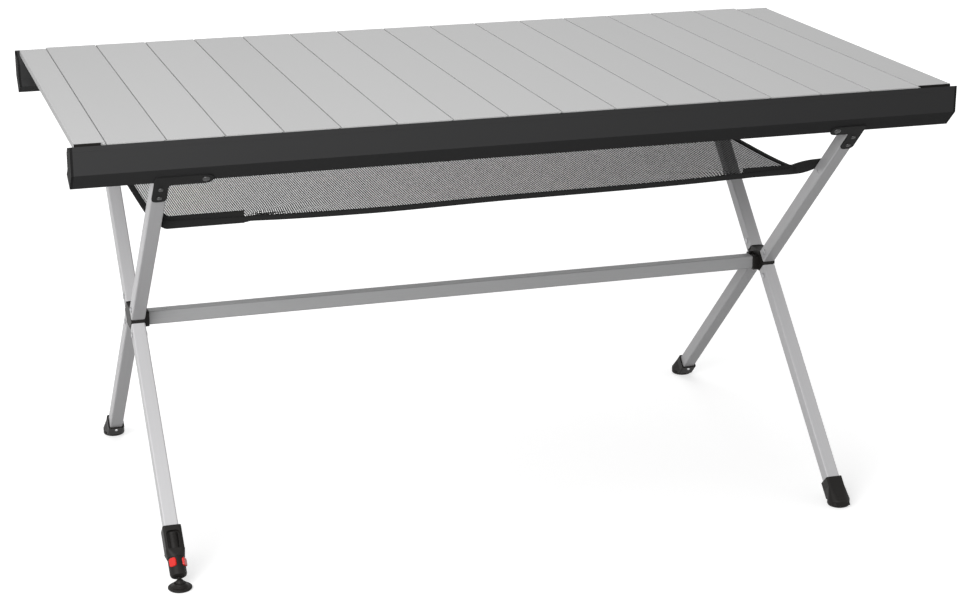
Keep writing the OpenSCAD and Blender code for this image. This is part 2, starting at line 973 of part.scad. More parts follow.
// One corner strap, lying on the back of an upper leg under its stud.
// inward = 1 where the middle of the table lies towards +X, otherwise -1.
module corner_strap(inward) {
  difference() {
    scale([inward, 1, 1])
      translate([-tube / 2 + 1.5, 0.3, strap_s - strap_w / 2])
        cube([tube + 3, strap_t, strap_w]);
    translate([0, 3, strap_s])
      rotate([90, 0, 0])
        cylinder(h = 4, r = stud_pin + 0.4, $fn = 24);
  }
}

// Net with a hem along each edge, a deeper patch at each end of the front and
// back hems, and straps to the legs. At the left the sheet reaches in between
// the legs as far as their middle, and at the right it stops short of them.
module shelf_net() {
  sheet_right = net_right - strap_reach + 4;
  color([0.10, 0.10, 0.10]) {
    translate([net_left, -net_y, net_z - 1])
      cube([sheet_right - net_left, 2 * net_y, 1.2]);
    translate([-left_frame, -net_back_y, net_z - 1])
      cube([side_hem + 10, 2 * net_back_y, 1.2]);
    translate([-left_frame, -net_back_y, net_z - 1.5])
      cube([side_hem, 2 * net_back_y, 2.2]);
    translate([sheet_right - side_hem, -net_y, net_z - 1.5])
      cube([side_hem, 2 * net_y, 2.2]);
    for (side = [-1, 1])
      scale([1, side, 1]) {
        translate([net_left, net_y - 2, net_z - hem_h])
          cube([sheet_right - net_left, 2, hem_h]);
        for (x = [net_left, net_right - patch_reach])
          translate([x, net_y - 2, net_z - hem_h])
            cube([patch_reach, 2, 17]);
      }
    upper_front(-left_frame)
      corner_strap(1);
    upper_front(right_frame)
      corner_strap(-1);
    upper_rear(-left_frame)
      corner_strap(1);
    upper_rear(right_frame)
      corner_strap(-1);
  }
}

// Flat-headed stud that holds a strap end against the back of an upper leg
module net_stud() {
  translate([0, 0.3 + strap_t + 0.3 + 1.6, strap_s])
    rotate([90, 0, 0])
      rotate_extrude($fn = 32)
        polygon([[0, 0], [stud_r - 1.2, 0], [stud_r, 0.6], [stud_r, 1.6],
                 [stud_pin, 1.6], [stud_pin, 5.4], [0, 5.4]]);
}
module front_net_studs() {
  color([0.2, 0.2, 0.2]) {
    upper_front(-left_frame)
      net_stud();
    upper_front(right_frame)
      net_stud();
  }
}
module rear_net_studs() {
  color([0.2, 0.2, 0.2]) {
    upper_rear(-left_frame)
      net_stud();
    upper_rear(right_frame)
      net_stud();
  }
}

// ---------------------------------------------------------------- drawing

left_end_slat();  // slat_01
place_slat(2);  // slat_02
place_slat(3);  // slat_03
place_slat(4);  // slat_04
place_slat(5);  // slat_05
place_slat(6);  // slat_06
place_slat(7);  // slat_07
place_slat(8);  // slat_08
place_slat(9);  // slat_09
place_slat(10);  // slat_10
place_slat(11);  // slat_11
place_slat(12);  // slat_12
place_slat(13);  // slat_13
place_slat(14);  // slat_14
place_slat(15);  // slat_15
place_slat(16);  // slat_16
right_end_slat();  // slat_17
left_end_slat_plugs();
right_end_slat_plugs();
front_rail();
rear_rail();
front_rail_end_caps();
rear_rail_end_caps();
front_left_upper_leg();
front_right_upper_leg();
rear_left_upper_leg();
rear_right_upper_leg();
front_left_lower_leg();
front_right_lower_leg();
rear_left_lower_leg();
rear_right_lower_leg();
left_hub();
right_hub();
left_hub_pivots();
right_hub_pivots();
stretcher_bar();
stretcher_end_hooks();
front_left_bracket();
front_right_bracket();
rear_left_bracket();
rear_right_bracket();
front_bracket_screws();
rear_bracket_screws();
front_bracket_rivets();
rear_bracket_rivets();
front_right_foot();
rear_left_foot();
rear_right_foot();
front_right_foot_screw();
rear_left_foot_screw();
rear_right_foot_screw();
foot_housing();
foot_plunger();
foot_pad();
foot_button_left();
foot_button_right();
shelf_net();
front_net_studs();
rear_net_studs();
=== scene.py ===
# %% [markdown]
# # A camp kitchen table
#
# The table arrives here as exact metal and plastic parts, already in their
# places. What is left to make is what a camera sees: the anodised and powder
# coated skins, the moulded plastic, and the one soft thing on it, the net
# shelf with its hems and corner straps.
#
# Every length below is in metres. X runs along the table, the front edge is
# towards -Y, and the ground is Z = 0.

# %% Load the frame
import json
import math

import bpy
import numpy as np
from mathutils import Matrix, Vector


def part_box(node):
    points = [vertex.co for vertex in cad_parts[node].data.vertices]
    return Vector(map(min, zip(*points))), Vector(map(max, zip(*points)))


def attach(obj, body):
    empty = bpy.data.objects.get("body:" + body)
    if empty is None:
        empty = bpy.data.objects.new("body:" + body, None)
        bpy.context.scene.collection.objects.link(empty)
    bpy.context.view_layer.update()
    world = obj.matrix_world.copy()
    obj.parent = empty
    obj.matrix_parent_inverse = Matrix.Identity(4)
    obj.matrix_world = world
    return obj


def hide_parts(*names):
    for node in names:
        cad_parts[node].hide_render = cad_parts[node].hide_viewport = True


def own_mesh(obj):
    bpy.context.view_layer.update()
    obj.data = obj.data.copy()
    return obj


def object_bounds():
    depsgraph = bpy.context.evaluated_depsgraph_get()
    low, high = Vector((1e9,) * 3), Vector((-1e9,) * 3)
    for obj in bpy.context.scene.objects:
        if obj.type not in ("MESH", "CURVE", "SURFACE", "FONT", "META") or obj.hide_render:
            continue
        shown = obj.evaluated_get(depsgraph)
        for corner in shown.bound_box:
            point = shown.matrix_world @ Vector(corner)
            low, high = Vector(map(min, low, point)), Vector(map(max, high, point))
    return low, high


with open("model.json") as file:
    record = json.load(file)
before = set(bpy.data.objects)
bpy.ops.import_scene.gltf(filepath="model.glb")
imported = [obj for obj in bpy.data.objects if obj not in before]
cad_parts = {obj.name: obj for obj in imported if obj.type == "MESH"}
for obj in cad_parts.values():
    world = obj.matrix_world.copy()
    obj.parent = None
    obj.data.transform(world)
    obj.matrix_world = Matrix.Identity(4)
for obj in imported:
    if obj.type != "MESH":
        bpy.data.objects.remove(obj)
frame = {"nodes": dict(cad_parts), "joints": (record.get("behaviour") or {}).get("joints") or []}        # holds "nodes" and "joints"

cad_low, cad_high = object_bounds()
cad_box = [list(map(float, cad_low)), list(map(float, cad_high))]
nodes = frame["nodes"]
pivots = {joint["name"]: joint["pos_m"] for joint in frame["joints"]}
TABLE_H = cad_box[1][2]
bpy.context.scene.view_settings.view_transform = "Standard"
print("parts:", len(nodes), "box:", np.round(cad_box, 3).tolist())

# %% [markdown]
# ## The camera
#
# The table is seen from the front left, a little from above, through a long
# lens from about four metres away. A camera could be aimed with a Track To
# constraint, but here its turn is worked out once: a heading and a downward
# tilt give the view direction, and the three axes of the camera follow from
# cross products. That keeps the view exact and easy to change.

# %% Set the camera by heading and tilt
HEADING = 0.3037          # radians, turned from +Y towards +X
TILT = 0.3093             # radians below the horizon
ROLL = -0.0010
EYE = np.array([-1.1235, -3.6674, TABLE_H + 0.7922])
SENSOR_MM, LENS_MM = 36.0, 82.25
NEAREST, FARTHEST = 0.05, 60.0


def camera_axes(heading, tilt, roll):
    """Rows: right, up and backward axis of a camera.

    The view direction is (sin h cos t, cos h cos t, -sin t); right is level and
    square to it, up is their cross product, and roll turns right and up about
    the view direction.
    """
    ahead = np.array([math.sin(heading) * math.cos(tilt),
                      math.cos(heading) * math.cos(tilt), -math.sin(tilt)])
    right = np.array([math.cos(heading), -math.sin(heading), 0.0])
    down = np.cross(ahead, right)
    r = math.cos(roll) * right + math.sin(roll) * down
    d = -math.sin(roll) * right + math.cos(roll) * down
    return np.array([r, -d, -ahead])


lens_data = bpy.data.cameras.new("camera")
lens_data.sensor_width = SENSOR_MM
lens_data.lens = LENS_MM
lens_data.clip_start = NEAREST
lens_data.clip_end = FARTHEST
camera = bpy.data.objects.new("camera", lens_data)
bpy.context.scene.collection.objects.link(camera)
pose = np.eye(4)
pose[:3, :3] = camera_axes(HEADING, TILT, ROLL).T
pose[:3, 3] = EYE
camera.matrix_world = Matrix(pose.tolist())
bpy.context.scene.camera = camera
print("camera at", np.round(EYE, 3).tolist())

# %% [markdown]
# ## The studio
#
# The studio is empty: a white floor that runs into a white backdrop, one large
# soft lamp from the left of the camera, a weaker one above and a small fill.
# Turning the lamps up until the floor burns out would also burn out the
# aluminium. So the floor and the world look white only to the camera and to
# mirror-like and see-through rays, and the lamps stay gentle. The floor also
# glows to those rays, less under the table and more far away: near the feet its
# shadow shows, and the far floor meets the backdrop without an edge.

# %% Helper: put a node in a tree and join sockets
def add(tree, kind, **values):
    """Make a node, set its attributes, and its inputs where a name matches one."""
    node = tree.nodes.new(kind)
    for key, value in values.items():
        if hasattr(node, key) and key not in node.inputs:
            setattr(node, key, value)
        else:
            node.inputs[key].default_value = value
    return node


def join(tree, source, target):
    """Link an output socket to an input socket."""
    tree.links.new(source, target)


def grey(value):
    """The colour (value, value, value, 1)."""
    return (value, value, value, 1.0)


def map_range(tree, source, span, result):
    """Output that runs over result while source runs over span."""
    node = add(tree, "ShaderNodeMapRange")
    for label, setting in zip(("From Min", "From Max", "To Min", "To Max"),
                              (*span, *result)):
        node.inputs[label].default_value = setting
    join(tree, source, node.inputs["Value"])
    return node.outputs[0]


def seen_by_eye_or_gloss(tree):
    """Output that is 1 for camera, mirror-like and see-through rays, else 0."""
    rays = add(tree, "ShaderNodeLightPath")
    eye_or_gloss = add(tree, "ShaderNodeMath", operation="MAXIMUM")
    any_of_them = add(tree, "ShaderNodeMath", operation="MAXIMUM")
    join(tree, rays.outputs["Is Camera Ray"], eye_or_gloss.inputs[0])
    join(tree, rays.outputs["Is Glossy Ray"], eye_or_gloss.inputs[1])
    join(tree, eye_or_gloss.outputs[0], any_of_them.inputs[0])
    join(tree, rays.outputs["Is Transmission Ray"], any_of_them.inputs[1])
    return any_of_them.outputs[0]


# %% World, white to the camera and dimmer for the lighting
SOFT_SKY = 0.33
world = bpy.data.worlds.new("studio")
bpy.context.scene.world = world
world.use_nodes = True
sky_tree = world.node_tree
sky_tree.nodes.clear()
soft = add(sky_tree, "ShaderNodeBackground", Color=grey(1.0), Strength=SOFT_SKY)
white = add(sky_tree, "ShaderNodeBackground", Color=grey(1.0), Strength=1.0)
either = add(sky_tree, "ShaderNodeMixShader")
join(sky_tree, seen_by_eye_or_gloss(sky_tree), either.inputs[0])
join(sky_tree, soft.outputs[0], either.inputs[1])
join(sky_tree, white.outputs[0], either.inputs[2])
sky_out = add(sky_tree, "ShaderNodeOutputWorld")
join(sky_tree, either.outputs[0], sky_out.inputs[0])
print("world ready")

# %% Floor: white to the eye and to metal, grey to the lamps, with a soft shadow
FLOOR_HALF = 14.0
FLOOR_GAP = 0.0008
FLOOR_GREY = 0.14
SHADOW_GREY = 0.62
GLOW = (0.60, 0.95)           # under the table and far away
GLOW_REACH = (1.3, 3.8)       # metres from the middle of the table
floor_mesh = bpy.data.meshes.new("floor")
floor_mesh.from_pydata([(-FLOOR_HALF, -FLOOR_HALF, -FLOOR_GAP),
                        (FLOOR_HALF, -FLOOR_HALF, -FLOOR_GAP),
                        (FLOOR_HALF, FLOOR_HALF, -FLOOR_GAP),
                        (-FLOOR_HALF, FLOOR_HALF, -FLOOR_GAP)], [], [(0, 1, 2, 3)])
floor = bpy.data.objects.new("floor", floor_mesh)
bpy.context.scene.collection.objects.link(floor)
floor_mat = bpy.data.materials.new("floor_white")
floor_mat.use_nodes = True
floor_tree = floor_mat.node_tree
floor_tree.nodes.clear()
to_lamps = add(floor_tree, "ShaderNodeBsdfDiffuse", Color=grey(FLOOR_GREY))
to_shadow = add(floor_tree, "ShaderNodeBsdfDiffuse", Color=grey(SHADOW_GREY))
floor_place = add(floor_tree, "ShaderNodeTexCoord")
floor_reach = add(floor_tree, "ShaderNodeVectorMath", operation="LENGTH")
floor_glow = add(floor_tree, "ShaderNodeEmission")
join(floor_tree, floor_place.outputs["Object"], floor_reach.inputs[0])
join(floor_tree, map_range(floor_tree, floor_reach.outputs["Value"], GLOW_REACH, GLOW),
     floor_glow.inputs["Strength"])
to_eye = add(floor_tree, "ShaderNodeAddShader")
join(floor_tree, to_shadow.outputs[0], to_eye.inputs[0])
join(floor_tree, floor_glow.outputs[0], to_eye.inputs[1])
floor_mix = add(floor_tree, "ShaderNodeMixShader")
join(floor_tree, seen_by_eye_or_gloss(floor_tree), floor_mix.inputs[0])
join(floor_tree, to_lamps.outputs[0], floor_mix.inputs[1])
join(floor_tree, to_eye.outputs[0], floor_mix.inputs[2])
floor_out = add(floor_tree, "ShaderNodeOutputMaterial")
join(floor_tree, floor_mix.outputs[0], floor_out.inputs[0])
floor_mesh.materials.append(floor_mat)
print("floor", 2 * FLOOR_HALF, "m wide")


# %% Lamps
def soft_lamp(name, place, target, size, watts):
    """Square area lamp at place whose -Z axis points at target.

    Its Z axis is place - target, its X axis is level and square to that, and
    its Y axis is their cross product.
    """
    data = bpy.data.lights.new(name, "AREA")
    data.shape = "SQUARE"
    data.size = size
    data.energy = watts
    lamp = bpy.data.objects.new(name, data)
    bpy.context.scene.collection.objects.link(lamp)
    back = np.array(place, float) - np.array(target, float)
    back /= np.linalg.norm(back)
    side = np.cross([0.0, 0.0, 1.0], back)
    side /= np.linalg.norm(side)
    up = np.cross(back, side)
    turn = np.eye(4)
    turn[:3, :3] = np.array([side, up, back]).T
    turn[:3, 3] = place
    lamp.matrix_world = Matrix(turn.tolist())


soft_lamp("key", (-2.1, -2.3, 1.8), (-0.4, 0.0, 0.3), 2.6, 122.0)
soft_lamp("overhead", (0.0, 0.8, 3.6), (0.0, 0.0, 0.7), 3.0, 62.0)
soft_lamp("fill", (3.4, -2.4, 1.4), (0.3, 0.0, 0.4), 2.4, 12.0)
print("three lamps")

# %% [markdown]
# ## Finishes
#
# Nearly everything on the table is one of a few finishes: satin anodised
# extrusions, satin anodised tube, anthracite powder coat, moulded black
# plastic and steel. Each is one Principled material. What makes them differ
# from flat paint is small: the drawing lines of an extrusion die, the orange
# peel of powder, the fine grain of a spark-eroded mould. The lines are one node
# group and the two kinds of grain are another. Each gives a value and a normal
# to the materials that need it, and reads Object coordinates, which here are
# metres in the table's own frame.

# %% Helper: a node group with its own inputs and outputs
def new_group(name, inputs, outputs):
    """Empty shader node group; inputs and outputs are (name, kind, default)."""
    group = bpy.data.node_groups.new(name, "ShaderNodeTree")
    for label, kind, default in inputs:
        socket = group.interface.new_socket(label, in_out="INPUT", socket_type=kind)
        socket.default_value = default
    for label, kind in outputs:
        group.interface.new_socket(label, in_out="OUTPUT", socket_type=kind)
    return group, add(group, "NodeGroupInput"), add(group, "NodeGroupOutput")


# %% Mark 1: drawing lines of an extrusion
lines_group, lines_in, lines_out = new_group(
    "drawing_lines",
    [("Turn", "NodeSocketVector", (0.0, 0.0, 0.0)),
     ("Fineness", "NodeSocketVector", (900.0, 3.0, 900.0)),
     ("Depth", "NodeSocketFloat", 0.15)],
    [("Value", "NodeSocketFloat"), ("Normal", "NodeSocketVector")])
lines_place = add(lines_group, "ShaderNodeTexCoord")
lines_turn = add(lines_group, "ShaderNodeVectorRotate", rotation_type="EULER_XYZ")
lines_scale = add(lines_group, "ShaderNodeVectorMath", operation="MULTIPLY")
lines_noise = add(lines_group, "ShaderNodeTexNoise",
                  Scale=1.0, Detail=3.0, Roughness=0.6)
lines_bump = add(lines_group, "ShaderNodeBump", Distance=0.00006)
join(lines_group, lines_place.outputs["Object"], lines_turn.inputs["Vector"])
join(lines_group, lines_in.outputs["Turn"], lines_turn.inputs["Rotation"])
join(lines_group, lines_turn.outputs[0], lines_scale.inputs[0])
join(lines_group, lines_in.outputs["Fineness"], lines_scale.inputs[1])
join(lines_group, lines_scale.outputs[0], lines_noise.inputs["Vector"])
join(lines_group, lines_noise.outputs["Fac"], lines_bump.inputs["Height"])
join(lines_group, lines_in.outputs["Depth"], lines_bump.inputs["Strength"])
join(lines_group, lines_noise.outputs["Fac"], lines_out.inputs["Value"])
join(lines_group, lines_bump.outputs[0], lines_out.inputs["Normal"])
print("group", lines_group.name)

# %% Mark 2: fine grain, for powder coat and for moulded plastic
grain_group, grain_in, grain_out = new_group(
    "fine_grain",
    [("Fineness", "NodeSocketFloat", 1500.0), ("Depth", "NodeSocketFloat", 0.2)],
    [("Value", "NodeSocketFloat"), ("Normal", "NodeSocketVector")])
grain_place = add(grain_group, "ShaderNodeTexCoord")
grain_noise = add(grain_group, "ShaderNodeTexNoise", Detail=2.0, Roughness=0.55)
grain_bump = add(grain_group, "ShaderNodeBump", Distance=0.00008)
join(grain_group, grain_place.outputs["Object"], grain_noise.inputs["Vector"])
join(grain_group, grain_in.outputs["Fineness"], grain_noise.inputs["Scale"])
join(grain_group, grain_noise.outputs["Fac"], grain_bump.inputs["Height"])
join(grain_group, grain_in.outputs["Depth"], grain_bump.inputs["Strength"])
join(grain_group, grain_noise.outputs["Fac"], grain_out.inputs["Value"])
join(grain_group, grain_bump.outputs[0], grain_out.inputs["Normal"])
print("group", grain_group.name)


# %% Helper: a finish with a mark that shades its colour and its roughness
COLOUR_A, COLOUR_B, COLOUR_OUT = 6, 7, 2      # a Mix node's sockets for colours


def finish(name, dark, light, rough, metallic, specular=0.5):
    """Principled material; its colour runs from dark to light and its roughness
    over the pair rough, both by a value that join_mark() plugs in."""
    mat = bpy.data.materials.new(name)
    mat.use_nodes = True
    tree = mat.node_tree
    shader = tree.nodes["Principled BSDF"]
    shader.inputs["Metallic"].default_value = metallic
    shader.inputs["Specular IOR Level"].default_value = specular
    colour = add(tree, "ShaderNodeMix", data_type="RGBA")
    colour.inputs[COLOUR_A].default_value = (*dark, 1.0)
    colour.inputs[COLOUR_B].default_value = (*light, 1.0)
    join(tree, colour.outputs[COLOUR_OUT], shader.inputs["Base Color"])
    matt = add(tree, "ShaderNodeMapRange")
    matt.inputs["To Min"].default_value = rough[0]
    matt.inputs["To Max"].default_value = rough[1]
    join(tree, matt.outputs[0], shader.inputs["Roughness"])
    return mat, tree, shader, colour.inputs[0], matt.inputs["Value"]


def join_mark(tree, shader, group, factor, value, **settings):
    mark = add(tree, "ShaderNodeGroup", node_tree=group)
    for label, setting in settings.items():
        mark.inputs[label].default_value = setting
    join(tree, mark.outputs["Value"], factor)
    join(tree, mark.outputs["Value"], value)
    join(tree, mark.outputs["Normal"], shader.inputs["Normal"])
    return mark


# %% [markdown]
# ### Slats
#
# The slats are satin anodised extrusions that run from front to back, so their
# drawing lines run that way too. One slat is never quite the tone of the next.
# A colour could be set slat by slat, but 17 materials would be hard to keep
# alike; instead the tone steps with the slat's number, which is the whole part
# of (X - first seam) / pitch + 1.

# %% Slat finish
FULL_SLATS = 15
TONE_BY_SLAT, TONE_BY_LINES = 0.55, 0.45
first_seam = pivots["top_roll"][0]
slat_pitch = (pivots["roll_17"][0] - first_seam) / FULL_SLATS
slat_mat, slat_tree, slat_shader, slat_factor, slat_value = finish(
    "slat_satin_aluminium", (0.36, 0.36, 0.36), (0.395, 0.395, 0.395),
    (0.52, 0.62), 0.22, 0.30)
slat_mark = join_mark(slat_tree, slat_shader, lines_group, slat_factor, slat_value,
                      Fineness=(700.0, 2.5, 700.0), Depth=0.10)
slat_place = add(slat_tree, "ShaderNodeTexCoord")
slat_axes = add(slat_tree, "ShaderNodeSeparateXYZ")
slat_count = add(slat_tree, "ShaderNodeMath", operation="MULTIPLY_ADD")
slat_count.inputs[1].default_value = 1.0 / slat_pitch
slat_count.inputs[2].default_value = 1.0 - first_seam / slat_pitch
slat_number = add(slat_tree, "ShaderNodeMath", operation="FLOOR")
slat_tone = add(slat_tree, "ShaderNodeTexWhiteNoise", noise_dimensions="1D")
join(slat_tree, slat_place.outputs["Object"], slat_axes.inputs[0])
join(slat_tree, slat_axes.outputs["X"], slat_count.inputs[0])
join(slat_tree, slat_count.outputs[0], slat_number.inputs[0])
join(slat_tree, slat_number.outputs[0], slat_tone.inputs["W"])
line_part = add(slat_tree, "ShaderNodeMath", operation="MULTIPLY")
line_part.inputs[1].default_value = TONE_BY_LINES
both_parts = add(slat_tree, "ShaderNodeMath", operation="MULTIPLY_ADD")
both_parts.inputs[1].default_value = TONE_BY_SLAT
join(slat_tree, slat_mark.outputs["Value"], line_part.inputs[0])
join(slat_tree, slat_tone.outputs["Value"], both_parts.inputs[0])
join(slat_tree, line_part.outputs[0], both_parts.inputs[2])
join(slat_tree, both_parts.outputs[0], slat_factor)
print("slat finish ready")


# %% [markdown]
# ### Tube
#
# The legs and the stretcher are the same square tube. Its drawing lines run
# along each bar. A leg leans 45 degrees one way or the other and the stretcher
# lies level, so the finish is made three times, with the lines turned to suit.
# The stretcher's copy is also darker than the legs'. That is painted shade for
# the shade it lies in under the table top.

# %% Tube finish, for each lean
LEG_TONES = ((0.50, 0.496, 0.504), (0.56, 0.556, 0.564))
# The stretcher's tones are painted shade: the same tube, darker for the shade under the
# table top.
STRETCHER_SHADED_TONES = ((0.36, 0.361, 0.364), (0.41, 0.411, 0.415))
LINES_ALONG_Z, LINES_ALONG_X = (900, 900, 4), (4, 900, 900)
LEAN = math.radians(45)


def tube_finish(name, turn, fineness, tones):
    """Satin tube whose drawing lines are turned about X, Y and Z by turn."""
    mat, tree, shader, factor, value = finish(name, *tones, (0.34, 0.44), 0.10, 0.20)
    join_mark(tree, shader, lines_group, factor, value,
              Turn=turn, Fineness=fineness, Depth=0.12)


tube_finish("tube_leaning_back", (LEAN, 0, 0), LINES_ALONG_Z, LEG_TONES)
tube_finish("tube_leaning_front", (-LEAN, 0, 0), LINES_ALONG_Z, LEG_TONES)
# The level copy is the stretcher's, with the darker painted-shade tones.
tube_finish("tube_level_shaded", (0, 0, 0), LINES_ALONG_X, STRETCHER_SHADED_TONES)
print("tube finishes ready")

# %% [markdown]
# ### Coats, plastics and fasteners
#
# Powder coat and moulded plastic differ in sheen and in the size of their
# grain. The hub rivets and the feet's screws are bright steel, a little
# scuffed, and the brackets' screws and rivets are blackened. The two release
# buttons are glossy red.

# %% Grained finishes
def grained(name, dark, light, rough, metallic, fineness, depth, specular=0.5):
    """Finish whose colour and roughness follow a fine grain."""
    mat, tree, shader, factor, value = finish(
        name, dark, light, rough, metallic, specular)
    join_mark(tree, shader, grain_group, factor, value, Fineness=fineness, Depth=depth)


grained("rail_powder_coat", (0.036, 0.036, 0.0365), (0.043, 0.043, 0.0435),
        (0.60, 0.70), 0.0, 2600.0, 0.10, 0.02)
grained("end_cap_plastic", (0.012, 0.012, 0.012), (0.018, 0.018, 0.018),
        (0.60, 0.70), 0.0, 1800.0, 0.18, 0.03)
grained("moulded_black_plastic", (0.009, 0.0085, 0.008), (0.016, 0.0145, 0.0135),
        (0.42, 0.56), 0.0, 1500.0, 0.25, 0.15)
grained("black_coated_plate", (0.012, 0.012, 0.012), (0.018, 0.018, 0.018),
        (0.48, 0.60), 0.0, 2200.0, 0.14, 0.06)
grained("fastener_steel", (0.36, 0.36, 0.37), (0.50, 0.50, 0.51),
        (0.26, 0.42), 0.9, 2400.0, 0.10)
grained("black_screw_steel", (0.03, 0.03, 0.03), (0.07, 0.07, 0.07),
        (0.30, 0.45), 0.6, 2400.0, 0.10)
grained("hook_light_metal", (0.62, 0.62, 0.63), (0.72, 0.72, 0.73),
        (0.34, 0.48), 0.5, 1800.0, 0.10)
grained("button_red", (0.55, 0.010, 0.006), (0.66, 0.016, 0.010),
        (0.22, 0.30), 0.0, 900.0, 0.04)
print("grained finishes ready")


# %% Give every rigid part its finish
def dress(name, mat):
    """Replace all of a part's material slots by one material."""
    mesh = nodes[name].data
    mesh.materials.clear()
    mesh.materials.append(mat)
    mesh.polygons.foreach_set("material_index", np.zeros(len(mesh.polygons), np.int32))


LOOKS = {
    "rail_powder_coat": ["front_rail", "rear_rail"],
    "end_cap_plastic": ["front_rail_end_caps", "rear_rail_end_caps"],
    "tube_leaning_front": ["front_left_upper_leg", "front_right_upper_leg",
                           "rear_left_lower_leg", "rear_right_lower_leg"],
    "tube_leaning_back": ["rear_left_upper_leg", "rear_right_upper_leg",
                          "front_left_lower_leg", "front_right_lower_leg"],
    # The stretcher gets the darker painted-shade copy of the tube.
    "tube_level_shaded": ["stretcher_bar"],
    "moulded_black_plastic": ["left_end_slat_plugs", "right_end_slat_plugs",
                              "left_hub", "right_hub", "front_right_foot",
                              "rear_left_foot", "rear_right_foot", "foot_housing",
                              "foot_plunger", "foot_pad"],
    "black_coated_plate": ["front_left_bracket", "front_right_bracket",
                           "rear_left_bracket", "rear_right_bracket"],
    "fastener_steel": ["left_hub_pivots", "right_hub_pivots", "front_right_foot_screw",
                       "rear_left_foot_screw", "rear_right_foot_screw"],
    "black_screw_steel": ["front_bracket_screws", "rear_bracket_screws",
                          "front_bracket_rivets", "rear_bracket_rivets",
                          "front_net_studs", "rear_net_studs"],
    "hook_light_metal": ["stretcher_end_hooks"],
    "button_red": ["foot_button_left", "foot_button_right"],
}
for look, members in LOOKS.items():
    for member in members:
        dress(member, bpy.data.materials[look])
slats = [member for member in nodes if member.startswith("slat_")]
for member in slats:
    dress(member, slat_mat)
dressed = sum(map(len, LOOKS.values())) + len(slats)
print("dressed", dressed, "of", len(nodes), "parts; the net comes next")

# %% [markdown]
# ## The net shelf
#
# The shelf is a black mesh cloth stretched between the upper legs, bound along
# its edges and hung by a webbing strap at each corner. It isn't flat: the
# straps draw the corners up, the middle hangs a few millimetres, the left half
# lies a little lower, and small folds fan out from the ends of the stiff corner
# patches. A cloth simulation could find that, but the shape is simple enough to
# write down, and a written shape gives the same net every time.

# %% Sizes of the net
NET_BELOW_TOP = 0.170         # from the table top down to the net
PAST_RIGHT_LEG = 0.040        # from the right edge of the net to the right leg
PATCH_L = 0.140               # from a leg to the end of a corner patch
NET_Y = 0.241                 # half of the net's width
BETWEEN_LEGS_Y = 0.2285       # the same, where it lies between two legs
CORNER_RISE = 0.006
NET_SAG = 0.006
EDGE_SAG = 0.0025
LEFT_DROOP = 0.004
hub_z = (pivots["leg_fold"][2] + pivots["front_left_leg_fold"][2]) / 2
left_leg, right_leg = ((box[0][0], box[1][0]) for box in (
    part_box("front_left_upper_leg"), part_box("front_right_upper_leg")))
NET_Z = TABLE_H - NET_BELOW_TOP
NET_X = ((left_leg[0] + left_leg[1]) / 2, right_leg[0] - PAST_RIGHT_LEG)
PATCH_END = (left_leg[1] + PATCH_L, right_leg[0] - PATCH_L)
print("net from x", np.round(NET_X, 3).tolist(), "at z", round(NET_Z, 3))


# %% Smooth step, used wherever something eases from one value to another
NARROWS_OVER = 0.012


def ease(t):
    """0 below 0, 1 above 1 and t*t*(3 - 2t) between."""
    t = np.clip(t, 0.0, 1.0)
    return t * t * (3 - 2 * t)


def net_half_width(x):
    """Half of the net's width at x: the narrow half width plus the rest of it
    times ease((x - leg) / 12 mm), so the left edge fits between the legs."""
    inside = ease((x - left_leg[1]) / NARROWS_OVER)
    return BETWEEN_LEGS_Y + (NET_Y - BETWEEN_LEGS_Y) * inside


# %% The net's height
FOLD_PEAK = 0.045             # metres from the patch's end to a fold's highest
FOLD_TURNS = 13.0             # folds in a full turn around the patch's end
FOLD_FAN = 1.35               # radians on each side, where the folds are gone
FOLD_NORM = 2.7               # brings the hump below to 1 at its peak
LEFT_FOLD, RIGHT_FOLD = 0.0028, 0.0010
DROOP_FROM, DROOP_OVER = 0.12, 0.5


def patch_fold(x, y, corner_x, corner_y, inward):
    """Folds that fan out from the end of a corner patch.

    r and a are the distance and angle from the patch's end. The height is
    sin(13 a) times (r/p) exp(-r/p) 2.7, which peaks at r = p = 45 mm, times
    1.35 - |a| kept between 0 and 1.
    """
    dx = (x - corner_x) * inward
    dy = (corner_y - y) * np.sign(corner_y)
    r = np.hypot(dx, dy) + 1e-6
    a = np.arctan2(dy, dx)
    hump = (r / FOLD_PEAK) * np.exp(-r / FOLD_PEAK) * FOLD_NORM
    fan = np.clip(FOLD_FAN - np.abs(a), 0.0, 1.0)
    return np.sin(FOLD_TURNS * a) * hump * fan


def net_height(x, y):
    """Height of the net cloth over the point (x, y).

    With u and v from -1 to 1 across the net: corners rise by u^4 v^4, the
    middle hangs by (1 - u^2)(1 - v^2), the long edges by (1 - u^2) v^2, the
    left half eases a little lower, and folds are added near the patches.
    """
    u = (2 * x - NET_X[0] - NET_X[1]) / (NET_X[1] - NET_X[0])
    v = y / NET_Y
    rise = CORNER_RISE * u ** 4 * v ** 4
    hang = NET_SAG * (1 - u ** 2) * (1 - v ** 2)
    edge = EDGE_SAG * (1 - u ** 2) * v ** 2
    droop = LEFT_DROOP * ease((DROOP_FROM - u) / DROOP_OVER)
    z = NET_Z + rise - hang - edge - droop
    for corner_y in (-NET_Y, NET_Y):
        z = z + LEFT_FOLD * patch_fold(x, y, PATCH_END[0], corner_y, 1.0)
        z = z + RIGHT_FOLD * patch_fold(x, y, PATCH_END[1], corner_y, -1.0)
    return z


middle_z = float(net_height(np.array(0.0), np.array(0.0)))
print("net middle hangs", round(1000 * (NET_Z - middle_z), 1), "mm")


